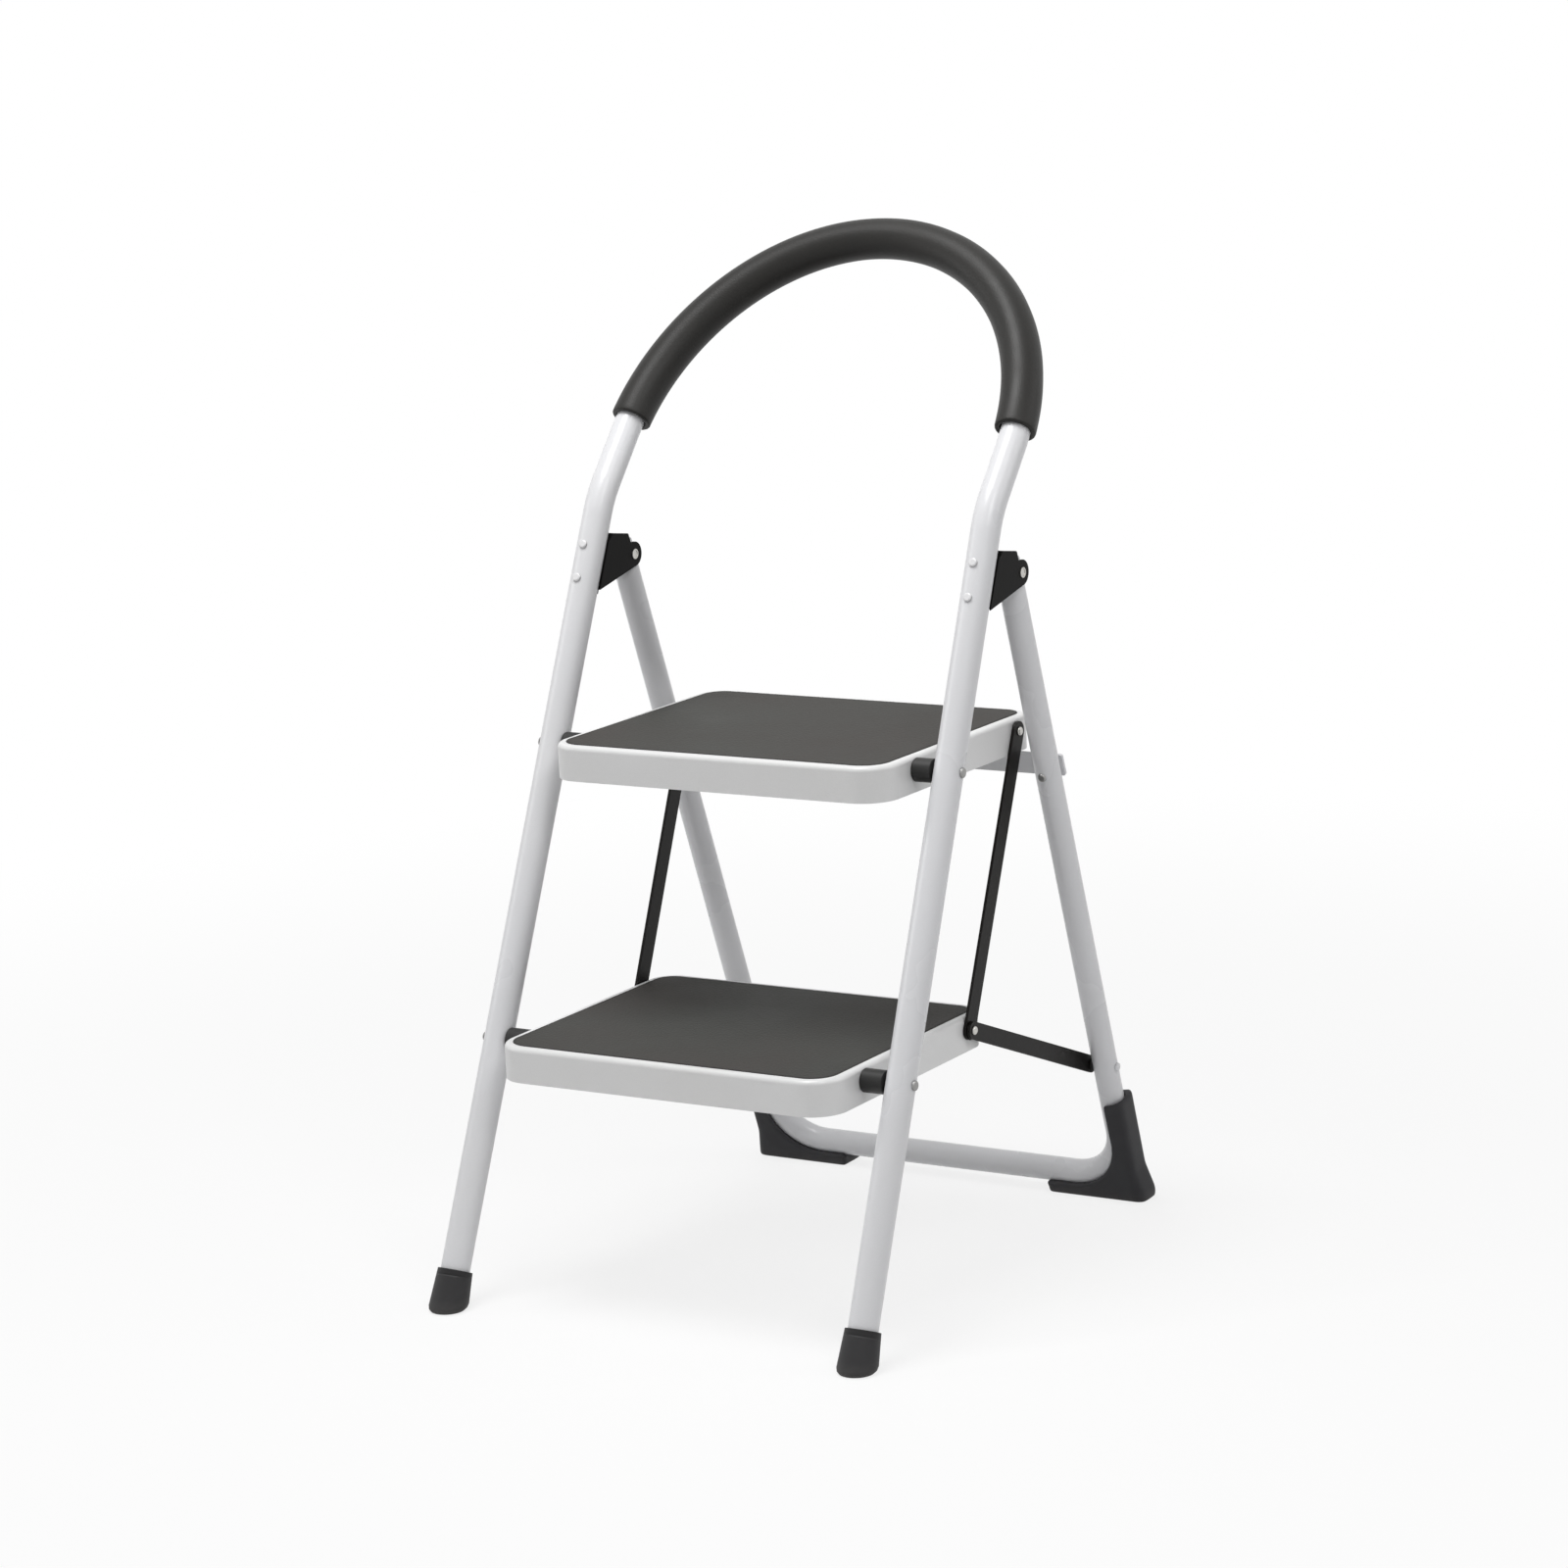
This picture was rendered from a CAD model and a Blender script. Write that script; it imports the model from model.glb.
import math

import bpy
from mathutils import Matrix, Vector


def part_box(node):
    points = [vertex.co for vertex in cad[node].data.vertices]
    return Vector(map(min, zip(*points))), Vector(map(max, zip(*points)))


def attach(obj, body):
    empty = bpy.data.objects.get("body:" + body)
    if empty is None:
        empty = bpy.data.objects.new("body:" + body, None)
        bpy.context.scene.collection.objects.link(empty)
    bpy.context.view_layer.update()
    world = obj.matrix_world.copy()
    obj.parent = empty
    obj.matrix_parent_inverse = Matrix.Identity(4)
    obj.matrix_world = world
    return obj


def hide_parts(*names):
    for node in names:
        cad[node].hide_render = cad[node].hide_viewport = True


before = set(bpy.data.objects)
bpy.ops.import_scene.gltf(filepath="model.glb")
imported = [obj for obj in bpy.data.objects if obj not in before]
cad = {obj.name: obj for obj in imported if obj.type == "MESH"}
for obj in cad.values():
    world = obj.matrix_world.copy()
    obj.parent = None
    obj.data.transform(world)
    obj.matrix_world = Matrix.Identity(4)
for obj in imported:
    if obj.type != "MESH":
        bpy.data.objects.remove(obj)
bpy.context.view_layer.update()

scene = bpy.context.scene

# Camera: it stands to the right of the climbing side and a little above the treads,
# at the place, roll and long lens that the photograph was taken with.
sensor_width = 36.0
lens_length = 105.844
far_limit = 80.0
camera_spot = (2.018367, -3.234757, 1.193815)
camera_right = Vector((0.85212876, 0.52127285, -0.04638087))
camera_up = Vector((-0.06601163, 0.19498033, 0.97858323))
camera_back = Vector((0.51915223, -0.83081724, 0.20055842))
bpy.ops.object.camera_add()
camera = bpy.context.object
camera.name = "stool_camera"
camera.data.sensor_width = sensor_width
camera.data.lens = lens_length
camera.data.clip_end = far_limit
camera_turn = Matrix((camera_right, camera_up, camera_back)).transposed().to_4x4()
camera.matrix_world = Matrix.Translation(camera_spot) @ camera_turn
scene.camera = camera


# Front frame: both front legs and the hoop are one bent steel tube, pickled and powder
# coated pale grey. The cured coat flows into a faint orange peel and holds a little dust.
def place(tree, kind, sockets=None, **settings):
    made = tree.nodes.new(kind)
    for key, value in settings.items():
        setattr(made, key, value)
    for key, value in (sockets or {}).items():
        if isinstance(value, bpy.types.NodeSocket):
            tree.links.new(value, made.inputs[key])
        else:
            made.inputs[key].default_value = value
    return made


def feed(tree, sockets, values):
    for label, value in values.items():
        tree.links.new(value, sockets[label])


def on_object(tree):
    return place(tree, "ShaderNodeTexCoord").outputs["Object"]


def noise(tree, where, scale, detail):
    made = place(tree, "ShaderNodeTexNoise", {"Vector": where, "Scale": scale, "Detail": detail})
    return made.outputs["Fac"]


def spread(tree, value, low, high, first, last, **settings):
    made = place(tree, "ShaderNodeMapRange", {
        "Value": value, "From Min": low, "From Max": high, "To Min": first, "To Max": last}, **settings)
    return made.outputs["Result"]


def mixed(tree, share, under, over):
    made = place(tree, "ShaderNodeMix", {"Factor": share, 6: under, 7: over}, data_type="RGBA")
    return made.outputs[2]


def scaled(tree, colour, share):
    made = place(tree, "ShaderNodeVectorMath", {0: colour, "Scale": share}, operation="SCALE")
    return made.outputs["Vector"]


def worked(tree, operation, *values):
    made = place(tree, "ShaderNodeMath", dict(enumerate(values)), operation=operation)
    return made.outputs["Value"]


def bumped(tree, height, strength, depth, normal=None, **settings):
    sockets = {"Height": height, "Strength": strength, "Distance": depth}
    if normal is not None:
        sockets["Normal"] = normal
    return place(tree, "ShaderNodeBump", sockets, **settings).outputs["Normal"]


def effect(name, takes, gives):
    tree = bpy.data.node_groups.new(name, "ShaderNodeTree")
    for label, kind, value in takes:
        socket = tree.interface.new_socket(label, in_out="INPUT", socket_type=kind)
        socket.default_value = value
    for label, kind in gives:
        tree.interface.new_socket(label, in_out="OUTPUT", socket_type=kind)
    return tree, place(tree, "NodeGroupInput").outputs, place(tree, "NodeGroupOutput").inputs


def finish(name, **shader_values):
    made = bpy.data.materials.new(name)
    made.use_nodes = True
    made.node_tree.nodes.clear()
    shader = place(made.node_tree, "ShaderNodeBsdfPrincipled", shader_values)
    place(made.node_tree, "ShaderNodeOutputMaterial", {"Surface": shader.outputs["BSDF"]})
    return made, made.node_tree, shader.inputs


def dress(material, *names):
    for name in names:
        for slot in cad[name].material_slots:
            slot.material = material


COLOUR, NUMBER, DIRECTION = "NodeSocketColor", "NodeSocketFloat", "NodeSocketVector"
coat_peel, given, shown = effect(
    "coat_peel",
    takes=[
        ("Color", COLOUR, (0.8, 0.8, 0.8, 1)),
        ("Dust", COLOUR, (0.6, 0.58, 0.54, 1)),
        ("Gloss", NUMBER, 0.4),
    ],
    gives=[("Color", COLOUR), ("Roughness", NUMBER), ("Height", NUMBER)],
)
coat_unevenness = 0.16
where = on_object(coat_peel)
drift = noise(coat_peel, where, scale=7.0, detail=4.0)
peel = noise(coat_peel, where, scale=420.0, detail=1.5)
speck = noise(coat_peel, where, scale=1900.0, detail=2.0)
dusty = spread(coat_peel, drift, low=0.45, high=0.75, first=0.0, last=0.12)
tinted = mixed(coat_peel, dusty, given["Color"], given["Dust"])
flecked = spread(coat_peel, speck, low=0.3, high=0.7, first=0.97, last=1.02)
feed(coat_peel, shown, {
    "Color": scaled(coat_peel, tinted, flecked),
    "Roughness": worked(coat_peel, "MULTIPLY_ADD", drift, coat_unevenness, given["Gloss"]),
    "Height": peel,
})


def powder_coat(name, colour, gloss, ripple_depth):
    made, tree, shader = finish(name, IOR=1.5)
    coat = place(tree, "ShaderNodeGroup", {
        "Color": (*colour, 1), "Gloss": gloss}, node_tree=coat_peel).outputs
    feed(tree, shader, {
        "Base Color": coat["Color"],
        "Roughness": coat["Roughness"],
        "Normal": bumped(tree, coat["Height"], strength=0.12, depth=ripple_depth),
    })
    return made


frame_coat = powder_coat("frame_coat", colour=(0.74, 0.742, 0.76), gloss=0.2, ripple_depth=0.0004)
dress(frame_coat, "front_frame_tube")

# Front feet: rubber caps pushed on the ends of the front tube, flared where they stand, with
# a collar line under the mouth. The mould leaves a fine spark-eroded grain, and the lowest
# millimetres pick up pale floor dust.
moulded_grain, given, shown = effect(
    "moulded_grain",
    takes=[
        ("Color", COLOUR, (0.05, 0.05, 0.05, 1)),
        ("Dust", COLOUR, (0.2, 0.19, 0.17, 1)),
        ("Gloss", NUMBER, 0.5),
        ("Dust Height", NUMBER, 0.012),
    ],
    gives=[("Color", COLOUR), ("Roughness", NUMBER), ("Height", NUMBER)],
)
moulded_unevenness = 0.2
where = on_object(moulded_grain)
cloud = noise(moulded_grain, where, scale=45.0, detail=4.0)
grain = noise(moulded_grain, where, scale=1500.0, detail=2.0)
above_floor = place(moulded_grain, "ShaderNodeSeparateXYZ", {"Vector": where}).outputs["Z"]
settled = spread(moulded_grain, above_floor, low=0.0, high=given["Dust Height"], first=0.55, last=0.0)
blotched = worked(moulded_grain, "MULTIPLY", settled, cloud)
dusted = mixed(moulded_grain, blotched, given["Color"], given["Dust"])
shaded = spread(moulded_grain, cloud, low=0.3, high=0.7, first=0.9, last=1.12)
feed(moulded_grain, shown, {
    "Color": scaled(moulded_grain, dusted, shaded),
    "Roughness": worked(moulded_grain, "MULTIPLY_ADD", cloud, moulded_unevenness, given["Gloss"]),
    "Height": grain,
})
edge_samples = 6


def moulded(name, colour, dust, gloss, shine, grain_depth, ease):
    made, tree, shader = finish(name, **{"IOR": 1.5, "Specular IOR Level": shine})
    eased = place(tree, "ShaderNodeBevel", {"Radius": ease}, samples=edge_samples).outputs["Normal"]
    skin = place(tree, "ShaderNodeGroup", {
        "Color": (*colour, 1), "Dust": (*dust, 1), "Gloss": gloss}, node_tree=moulded_grain).outputs
    feed(tree, shader, {
        "Base Color": skin["Color"],
        "Roughness": skin["Roughness"],
        "Normal": bumped(tree, skin["Height"], strength=0.25, depth=grain_depth, normal=eased),
    })
    return made


def shader_of(material):
    return next(node for node in material.node_tree.nodes if node.type == "BSDF_PRINCIPLED").inputs


def darken(material, share):
    tree, shader = material.node_tree, shader_of(material)
    plain = shader["Base Color"].links[0].from_socket
    feed(tree, shader, {"Base Color": scaled(tree, plain, share)})


def dotted(tree, one, other):
    made = place(tree, "ShaderNodeVectorMath", {0: one, 1: other}, operation="DOT_PRODUCT")
    return made.outputs["Value"]


floor_dust = (0.10, 0.095, 0.09)
foot_rubber = moulded(
    "foot_rubber", colour=(0.036, 0.0352, 0.0365), dust=floor_dust,
    gloss=0.44, shine=0.2, grain_depth=0.0003, ease=0.0016)
leg_lean = math.radians(23.5)
leg_axis = Vector((0.0, math.sin(leg_lean), math.cos(leg_lean)))
cap_top = max(leg_axis.dot(corner.co) for corner in cad["front_foot_left"].data.vertices)
collar_height = 0.0055
collar_groove = 0.0011
collar_depth = 0.0006
tree, shader = foot_rubber.node_tree, shader_of(foot_rubber)
below = worked(tree, "SUBTRACT", cap_top - collar_height, dotted(tree, on_object(tree), leg_axis))
collar = spread(tree, below, low=-collar_groove, high=0.0, first=0.62, last=1.0)
off_line = worked(tree, "ABSOLUTE", below)
groove = spread(tree, off_line, low=0.0, high=collar_groove, first=0.0, last=1.0)
grained = shader["Normal"].links[0].from_socket
feed(tree, shader, {"Normal": bumped(tree, groove, strength=0.8, depth=collar_depth, normal=grained)})
darken(foot_rubber, collar)
dress(foot_rubber, "front_foot_left", "front_foot_right")

# Hinge brackets: pressed from steel sheet, folded round the front tube with two cheeks for
# the rear tube, and enamelled satin black. The enamel is rubbed thin along its edges.
edge_rub, given, shown = effect(
    "edge_rub",
    takes=[("Reach", NUMBER, 0.0008)],
    gives=[("Edge", NUMBER), ("Rub", NUMBER), ("Normal", DIRECTION)],
)
eased = place(edge_rub, "ShaderNodeBevel", {"Radius": given["Reach"]}, samples=edge_samples)
flat = place(edge_rub, "ShaderNodeNewGeometry").outputs["Normal"]
turned = dotted(edge_rub, eased.outputs["Normal"], flat)
near = spread(edge_rub, turned, low=0.98, high=0.8, first=0.0, last=1.0)
patchy = noise(edge_rub, on_object(edge_rub), scale=220.0, detail=3.0)
thin = spread(edge_rub, patchy, low=0.42, high=0.62, first=0.0, last=1.0)
feed(edge_rub, shown, {
    "Edge": near,
    "Rub": worked(edge_rub, "MULTIPLY", near, thin),
    "Normal": eased.outputs["Normal"],
})


def black_enamel(name, colour, bare, gloss, shine, reach):
    made, tree, shader = finish(name, **{"IOR": 1.5, "Specular IOR Level": shine})
    dust_lift = 2.2
    dust = [part * dust_lift for part in colour]
    edge = place(tree, "ShaderNodeGroup", {"Reach": reach}, node_tree=edge_rub).outputs
    coat = place(tree, "ShaderNodeGroup", {
        "Color": (*colour, 1), "Dust": (*dust, 1), "Gloss": gloss}, node_tree=coat_peel).outputs
    feed(tree, shader, {
        "Base Color": mixed(tree, edge["Rub"], coat["Color"], (*bare, 1)),
        "Roughness": coat["Roughness"],
        "Normal": bumped(tree, coat["Height"], strength=0.15, depth=0.0004, normal=edge["Normal"]),
    })
    return made


bracket_enamel = black_enamel(
    "bracket_enamel", colour=(0.0042, 0.004, 0.0038), bare=(0.016, 0.0155, 0.015),
    gloss=0.34, shine=0.06, reach=0.0007)
dress(bracket_enamel, "hinge_bracket_left", "hinge_bracket_right")

# Bracket rivets: domed rivets through the front tube, coated over together with it. Grime
# sits in the corner that each head makes with the tube.
rivet_coat = powder_coat("rivet_coat", colour=(0.80, 0.80, 0.81), gloss=0.14, ripple_depth=0.0003)
head_height = 0.0018
leg_front = Vector((0.0, -math.cos(leg_lean), math.sin(leg_lean)))
head_top = max(leg_front.dot(corner.co) for corner in cad["bracket_rivets"].data.vertices)
tree = rivet_coat.node_tree
outward = dotted(tree, on_object(tree), leg_front)
clean = spread(
    tree, outward, low=head_top - head_height, high=head_top - head_height / 2, first=0.3, last=1.0)
darken(rivet_coat, clean)
dress(rivet_coat, "bracket_rivets")


# Hinge pins: zinc plated steel rivets with domed heads, one through both cheeks of each
# bracket and the rear tube. They stay bright, with fine random scratches.
def zinc_plate(name, bright, bloomed, gloss):
    made, tree, shader = finish(name, Metallic=1.0)
    where = on_object(tree)
    brushed = (3.0, 1.0, 0.35)
    scored = 0.2
    stretch = place(tree, "ShaderNodeMapping", {"Vector": where, "Scale": brushed}).outputs["Vector"]
    scratch = noise(tree, stretch, scale=900.0, detail=3.0)
    bloom = noise(tree, where, scale=160.0, detail=2.0)
    feed(tree, shader, {
        "Base Color": mixed(tree, bloom, (*bright, 1), (*bloomed, 1)),
        "Roughness": spread(tree, scratch, low=0.3, high=0.7, first=gloss, last=gloss + scored),
        "Normal": bumped(tree, scratch, strength=0.1, depth=0.0001),
    })
    return made


zinc = zinc_plate("zinc_plate", bright=(0.60, 0.585, 0.55), bloomed=(0.44, 0.435, 0.42), gloss=0.2)
dress(zinc, "hinge_pins")

# Grip: a sleeve of soft closed-cell foam, blown as a tube, pulled over the hoop and cut
# square at both ends, where the cut edge rounds over.
grip_low, grip_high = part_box("handrail_grip")
grip_lean = math.radians(40.7)
grip_cut = math.radians(4.422)
grip_outside = 0.01765
grip_wall = 0.0048
grip_clear = 0.0001
grip_edge = 0.0016
grip_spans = 6
rings_per_span = 20
quarter_sides = 10
hoop_rise = 0.2075
hoop_half = grip_high[0] - grip_outside - grip_clear
grip_foot = Vector((
    0.0,
    grip_high[1] - grip_outside - grip_clear - hoop_rise * math.sin(grip_lean),
    grip_high[2] - grip_outside - grip_clear - hoop_rise * math.cos(grip_lean),
))
weld = 0.00001
bpy.ops.object.select_all(action="DESELECT")
bpy.ops.curve.primitive_bezier_curve_add()
grip = bpy.context.object
grip.name = "foam_grip"
hoop = grip.data.splines[0]
hoop.bezier_points.add(grip_spans - 1)
span = (math.pi - 2 * grip_cut) / grip_spans
handle = 4 / 3 * math.tan(span / 4)
for index, knot in enumerate(hoop.bezier_points):
    turn = grip_cut + index * span
    spot = Vector((hoop_half * math.cos(turn), hoop_rise * math.sin(turn), 0))
    run = Vector((-hoop_half * math.sin(turn), hoop_rise * math.cos(turn), 0)) * handle
    knot.handle_left_type = knot.handle_right_type = "FREE"
    knot.co, knot.handle_left, knot.handle_right = spot, spot - run, spot + run
grip.data.resolution_u = rings_per_span
grip.data.bevel_depth = grip_outside
grip.data.bevel_resolution = quarter_sides
grip.rotation_euler = (math.pi / 2 - grip_lean, 0, 0)
grip.location = grip_foot
bpy.ops.object.convert(target="MESH")
bpy.ops.object.transform_apply(location=True, rotation=True, scale=True)
bpy.ops.object.mode_set(mode="EDIT")
bpy.ops.mesh.select_all(action="SELECT")
bpy.ops.mesh.remove_doubles(threshold=weld)
bpy.ops.mesh.normals_make_consistent(inside=False)
bpy.ops.object.mode_set(mode="OBJECT")
wall = grip.modifiers.new("wall", "SOLIDIFY")
wall.thickness = grip_wall
wall.offset = -1
soft_edge = grip.modifiers.new("soft_edge", "BEVEL")
soft_edge.width = grip_edge
soft_edge.segments = 3
soft_edge.limit_method = "ANGLE"
soft_edge.angle_limit = math.radians(50)
for modifier in ("wall", "soft_edge"):
    bpy.ops.object.modifier_apply(modifier=modifier)
bpy.ops.object.shade_smooth_by_angle(angle=math.radians(40))

foam_dark = (0.0105, 0.0102, 0.0092, 1)
foam_pale = (0.0165, 0.015, 0.0131, 1)
foam, tree, shader = finish("grip_foam", **{
    "IOR": 1.5, "Specular IOR Level": 0.27, "Sheen Weight": 0.02, "Sheen Roughness": 0.5})
where = on_object(tree)
cells = place(tree, "ShaderNodeTexVoronoi", {"Vector": where, "Scale": 900.0}).outputs["Distance"]
cloud = noise(tree, where, scale=30.0, detail=4.0)
pitted = spread(tree, cells, low=0.0, high=0.7, first=1.12, last=0.8)
feed(tree, shader, {
    "Base Color": scaled(tree, mixed(tree, cloud, foam_dark, foam_pale), pitted),
    "Roughness": spread(tree, cloud, low=0.3, high=0.7, first=0.42, last=0.5),
    "Normal": bumped(tree, cells, strength=0.3, depth=0.0003, invert=True),
})
grip.data.materials.clear()
grip.data.materials.append(foam)
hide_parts("handrail_grip")
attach(grip, "front_frame")

# Rear frame: one U-bent tube that swings between the bracket cheeks, in the same coat, with
# a flat steel crossbar riveted across its back under the top tread. The ends of the brace
# rivets are coated over with the tube, and the crossbar's rivets are dulled zinc.
dress(frame_coat, "rear_frame_tube", "rear_crossbar", "brace_rivet_tails")
dull_zinc = zinc_plate("dull_zinc", bright=(0.36, 0.355, 0.345), bloomed=(0.25, 0.25, 0.248), gloss=0.34)
dress(dull_zinc, "crossbar_rivets")

# Rear shoes: moulded of the same rubber as the feet, cupped round the bends of the rear tube
# and flared to a toe behind. The mould has no sharp edge, so the solid is melted a little.
shoe_rubber = moulded(
    "shoe_rubber", colour=(0.0405, 0.0400, 0.0430), dust=floor_dust,
    gloss=0.46, shine=0.16, grain_depth=0.0003, ease=0.001)
shoe_voxel = 0.001
shoe_melt = 50
melt_share = 0.5
shoe_kept = 0.2
for side in ("left", "right"):
    bpy.ops.object.select_all(action="DESELECT")
    shoe = bpy.data.objects.new(f"rear_shoe_{side}", cad[f"rear_foot_{side}"].data.copy())
    scene.collection.objects.link(shoe)
    shoe.select_set(True)
    bpy.context.view_layer.objects.active = shoe
    bpy.ops.object.mode_set(mode="EDIT")
    bpy.ops.mesh.select_all(action="SELECT")
    bpy.ops.mesh.remove_doubles(threshold=weld)
    bpy.ops.mesh.customdata_custom_splitnormals_clear()
    bpy.ops.object.mode_set(mode="OBJECT")
    grid = shoe.modifiers.new("grid", "REMESH")
    grid.mode = "VOXEL"
    grid.voxel_size = shoe_voxel
    melt = shoe.modifiers.new("melt", "SMOOTH")
    melt.factor = melt_share
    melt.iterations = shoe_melt
    thinned = shoe.modifiers.new("thinned", "DECIMATE")
    thinned.ratio = shoe_kept
    for modifier in ("grid", "melt", "thinned"):
        bpy.ops.object.modifier_apply(modifier=modifier)
    bpy.ops.object.shade_smooth()
    shoe.data.materials.clear()
    shoe.data.materials.append(shoe_rubber)
    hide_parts(f"rear_foot_{side}")
    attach(shoe, "rear_frame")

# Spacers: black nylon rings, turned off with a satin face, that keep the treads off the legs.
# The step pins through them are zinc plated, and dulled like the crossbar's rivets.
spacer_nylon = moulded(
    "spacer_nylon", colour=(0.019, 0.019, 0.0185), dust=(0.05, 0.05, 0.05),
    gloss=0.36, shine=0.3, grain_depth=0.0002, ease=0.001)
dress(spacer_nylon, "lower_spacer_left", "lower_spacer_right", "top_spacer_left", "top_spacer_right")
dress(dull_zinc, "lower_step_pins", "top_step_pins")

# Treads: pans pressed from sheet steel with rounded corners and a rolled rim, coated like
# the frame, but a shade flatter on the pressed skirts.
tread_coat = powder_coat("tread_coat", colour=(0.785, 0.785, 0.785), gloss=0.24, ripple_depth=0.0005)
dress(tread_coat, "lower_step_tray", "top_step_tray")

# Tread mats: ribless rubber sheet bonded into the bed of each tread, dark warm grey, with a
# fine pebbled face that is worn a little smoother where feet stand, and a darker cut edge.
mat_dark = (0.0315, 0.0315, 0.028, 1)
mat_trodden = (0.0455, 0.0418, 0.0386, 1)
mat_rim = (0.01, 0.01, 0.0093, 1)
rim_reach = 0.006
mat_rubber, tree, shader = finish("mat_rubber", **{"IOR": 1.5, "Specular IOR Level": 0.25})
where = on_object(tree)
patch = noise(tree, where, scale=6.0, detail=3.0)
grit = noise(tree, where, scale=1400.0, detail=2.0)
pebble = place(tree, "ShaderNodeTexVoronoi", {"Vector": where, "Scale": 460.0}, feature="SMOOTH_F1")
trodden = spread(tree, patch, low=0.36, high=0.64, first=0.0, last=1.0)
worn = mixed(tree, trodden, mat_dark, mat_trodden)
rim = place(tree, "ShaderNodeGroup", {"Reach": rim_reach}, node_tree=edge_rub).outputs["Edge"]
gritty = spread(tree, grit, low=0.3, high=0.7, first=0.86, last=1.14)
feed(tree, shader, {
    "Base Color": scaled(tree, mixed(tree, rim, worn, mat_rim), gritty),
    "Roughness": spread(tree, patch, low=0.3, high=0.7, first=0.62, last=0.8),
    "Normal": bumped(tree, pebble.outputs["Distance"], strength=0.5, depth=0.0006, invert=True),
})
dress(mat_rubber, "lower_step_mat", "top_step_mat")

# Link bars and braces: flat steel strip, punched, with rounded ends, dipped in black enamel
# like the brackets, and so are the studs of the braces. Zinc plated rivets join the bars to
# the treads and to each other.
bar_enamel = black_enamel(
    "bar_enamel", colour=(0.0095, 0.0085, 0.0078), bare=(0.04, 0.038, 0.036),
    gloss=0.3, shine=0.12, reach=0.0006)
dress(bar_enamel, "link_bar_left", "link_bar_right", "brace_bar_left", "brace_bar_right", "brace_studs")
dress(zinc, "lower_link_rivets", "top_link_rivets")


# Floor: a plain white studio sweep. Seen directly it is mostly its own white, so that only
# the soft shadow of the stool is left on it, and far off it is white altogether.
def directly_seen(tree):
    rays = place(tree, "ShaderNodeLightPath").outputs
    seen = worked(tree, "MAXIMUM", rays["Is Camera Ray"], rays["Is Glossy Ray"])
    return worked(tree, "MAXIMUM", seen, rays["Is Transmission Ray"])


floor_size = 40.0
floor_pale = (0.9, 0.9, 0.9, 1)
pure_white = (1, 1, 1, 1)
shadow_near, shadow_far = 0.5, 2.0
bpy.ops.object.select_all(action="DESELECT")
bpy.ops.mesh.primitive_plane_add(size=floor_size, location=(0, 0, 0))
floor = bpy.context.object
floor.name = "studio_floor"
sweep = bpy.data.materials.new("floor_white")
sweep.use_nodes = True
tree = sweep.node_tree
tree.nodes.clear()
away = place(tree, "ShaderNodeVectorMath", {0: on_object(tree)}, operation="LENGTH").outputs["Value"]
fade = spread(tree, away, low=shadow_near, high=shadow_far, first=0.8, last=1.0,
              interpolation_type="SMOOTHSTEP")
own_white = worked(tree, "MULTIPLY", directly_seen(tree), fade)
matt = place(tree, "ShaderNodeBsdfDiffuse", {"Color": floor_pale})
white = place(tree, "ShaderNodeEmission", {"Color": pure_white, "Strength": 1.0})
both = place(tree, "ShaderNodeMixShader", {
    0: own_white, 1: matt.outputs["BSDF"], 2: white.outputs["Emission"]})
place(tree, "ShaderNodeOutputMaterial", {"Surface": both.outputs["Shader"]})
floor.data.materials.append(sweep)

# Studio light: a large soft box overhead, weaker ones on the left, the right and behind,
# in an even white room that is plain white where it is seen or mirrored.
stool_middle = Vector((0, 0, 0.4))
room_level = 0.22


def softbox(name, spot, size, power):
    bpy.ops.object.light_add(type="AREA", location=spot)
    lamp = bpy.context.object
    lamp.name = name
    lamp.data.shape = "SQUARE"
    lamp.data.size = size
    lamp.data.energy = power
    lamp.rotation_euler = (stool_middle - Vector(spot)).to_track_quat("-Z", "Y").to_euler()


softbox("top_light", spot=(-0.25, -0.45, 2.5), size=1.0, power=37)
softbox("left_light", spot=(-2.4, -1.0, 1.3), size=1.0, power=7)
softbox("right_light", spot=(1.5, -0.95, 2.3), size=0.8, power=11)
softbox("back_light", spot=(2.2, 0.9, 1.7), size=1.2, power=8)
room = bpy.data.worlds.new("white_room")
scene.world = room
room.use_nodes = True
tree = room.node_tree
tree.nodes.clear()
level = spread(tree, directly_seen(tree), low=0.0, high=1.0, first=room_level, last=1.0)
sky = place(tree, "ShaderNodeBackground", {"Color": pure_white, "Strength": level})
place(tree, "ShaderNodeOutputWorld", {"Surface": sky.outputs["Background"]})

scene.view_settings.view_transform = "Standard"
